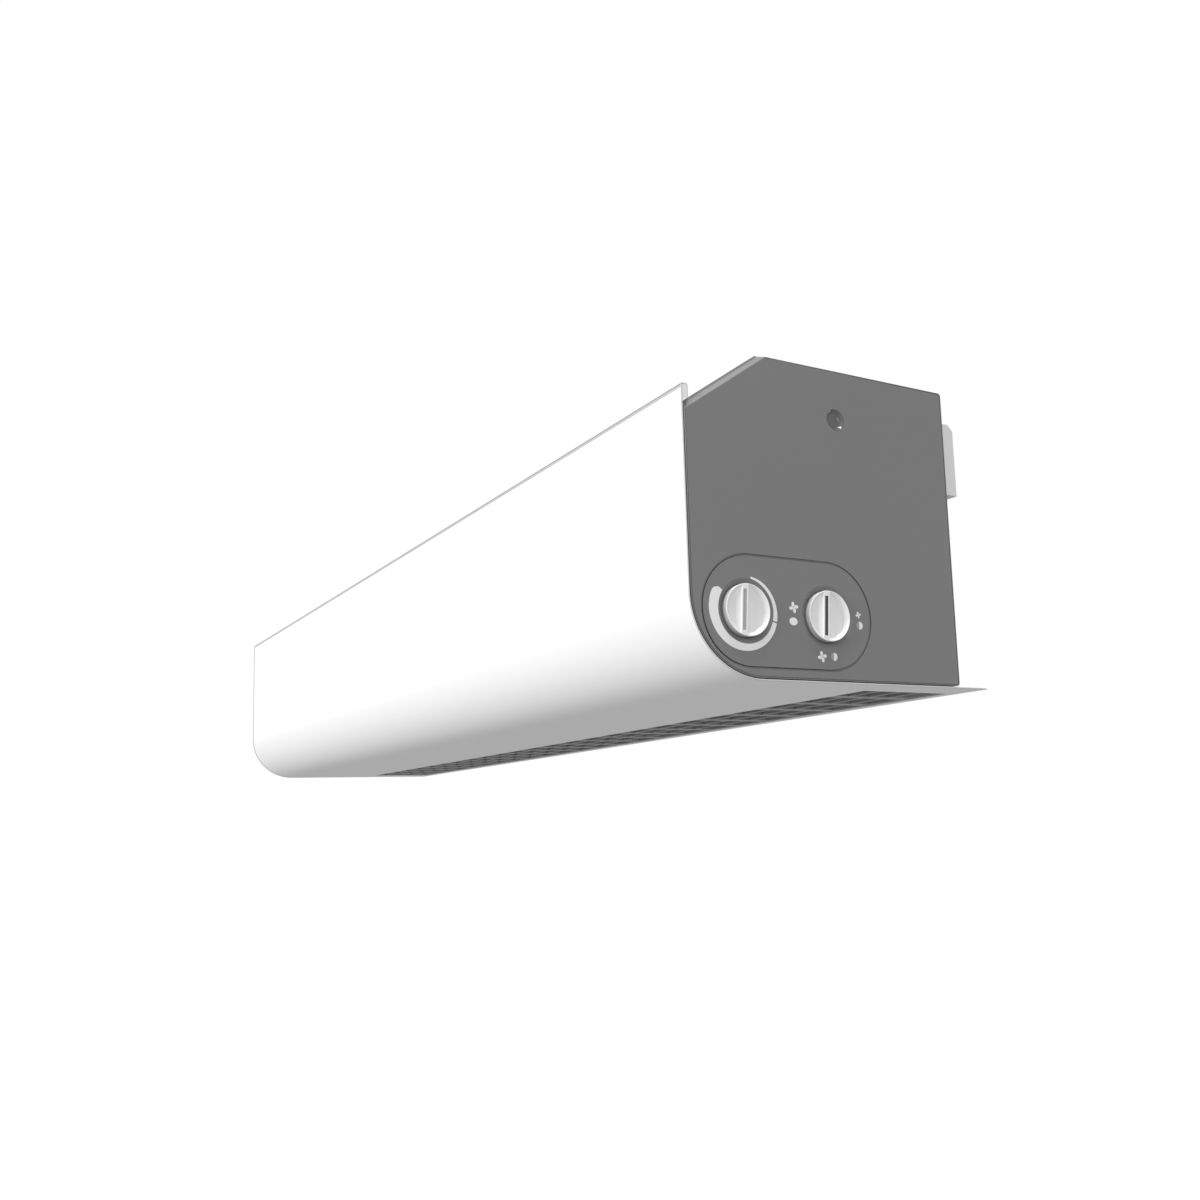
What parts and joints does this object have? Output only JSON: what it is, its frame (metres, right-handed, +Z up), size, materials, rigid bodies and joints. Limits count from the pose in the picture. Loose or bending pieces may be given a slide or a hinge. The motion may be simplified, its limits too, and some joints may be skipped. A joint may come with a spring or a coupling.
{
  "type": "air curtain",
  "caption": "Wall-hung air curtain with a pull-off sheet-steel cover, moulded end plates, control knobs, a cross-flow fan, a heater and a grilled outlet in the underside.",
  "frame": {"origin": "middle of the wall bolt holes, on the wall plane", "axes": "+X along the unit towards the control end, +Y into the wall, +Z up"},
  "size_m": [1.0125, 0.221, 0.2063],
  "materials": {
    "cover_paint": "satin white powder coat",
    "grille_grey": "satin grey powder coat",
    "end_plastic": "fine grained dark grey moulding",
    "knob_plastic": "light silver grey, slightly glossy",
    "bracket_paint": "light grey paint",
    "steel": "bright turned steel",
    "zinc_sheet": "zinc coated sheet",
    "zinc_screws": "bright zinc plate",
    "black_screws": "black oxide",
    "wheel_metal": "bare aluminium",
    "motor_metal": "cast and bare",
    "sheath": "heat darkened stainless sheath",
    "ceramic": "glazed ceramic",
    "bronze": "sintered bronze",
    "brass": "plain brass",
    "black_rubber": "matt black rubber",
    "pale_plastic": "plain pale moulding",
    "white_can": "smooth white can",
    "gland_plastic": "light grey moulding"
  },
  "bodies": {
    "casing": {"stud_clips": "pale_plastic", "end_plate_right": "end_plastic", "end_plate_left": "end_plastic", "control_panel": "end_plastic", "thermostat_body": "pale_plastic", "selector_switch": "pale_plastic", "rear_shell": "cover_paint", "intake_grille": "cover_paint", "front_rail": "zinc_sheet", "side_plate_right": "zinc_sheet", "side_plate_left": "zinc_sheet", "scroll_panel": "zinc_sheet", "vortex_tongue": "zinc_sheet", "bearing_bush": "bronze", "bearing_holder": "black_rubber", "motor": "motor_metal", "motor_mounts": "black_rubber", "motor_screws": "zinc_screws", "motor_capacitor": "white_can", "capacitor_clip": "zinc_sheet", "heater_tubes": "sheath", "heater_supports": "zinc_sheet", "heater_bushings": "ceramic", "overheat_cutout": "pale_plastic", "terminal_block": "pale_plastic", "earth_stud": "brass", "cable_gland": "gland_plastic", "gland_locknut": "gland_plastic", "end_plate_spacers": "zinc_sheet", "end_plate_screws": "black_screws", "wall_bracket_right": "bracket_paint", "wall_bracket_left": "bracket_paint", "bracket_screws": "zinc_screws"},
    "fan": {"impeller": "wheel_metal", "fan_shaft": "steel", "shaft_coupling": "black_rubber", "motor_shaft": "steel"},
    "thermostat_knob": {"thermostat_knob": "knob_plastic", "thermostat_spindle": "steel"},
    "selector_knob": {"selector_knob": "knob_plastic", "selector_spindle": "steel"},
    "front_cover": {"front_cover": "cover_paint", "outlet_grille": "grille_grey", "cover_studs": "zinc_screws"}
  },
  "joints": [
    {"name": "fan_spin", "type": "hinge", "parent": "casing", "child": "fan", "pos_m": [0, -0.1, -0.041], "axis": [-1, 0, 0], "continuous": true},
    {"name": "thermostat_turn", "type": "hinge", "parent": "casing", "child": "thermostat_knob", "pos_m": [0.5, -0.1835, -0.1141], "axis": [-1, 0, 0], "range_deg": [0, 300]},
    {"name": "selector_turn", "type": "hinge", "parent": "casing", "child": "selector_knob", "pos_m": [0.5, -0.126, -0.1141], "axis": [-1, 0, 0], "range_deg": [0, 270]},
    {"name": "cover_slide", "type": "slide", "parent": "casing", "child": "front_cover", "axis": [0, -1, 0], "range_m": [0, 0.23]}
  ]
}
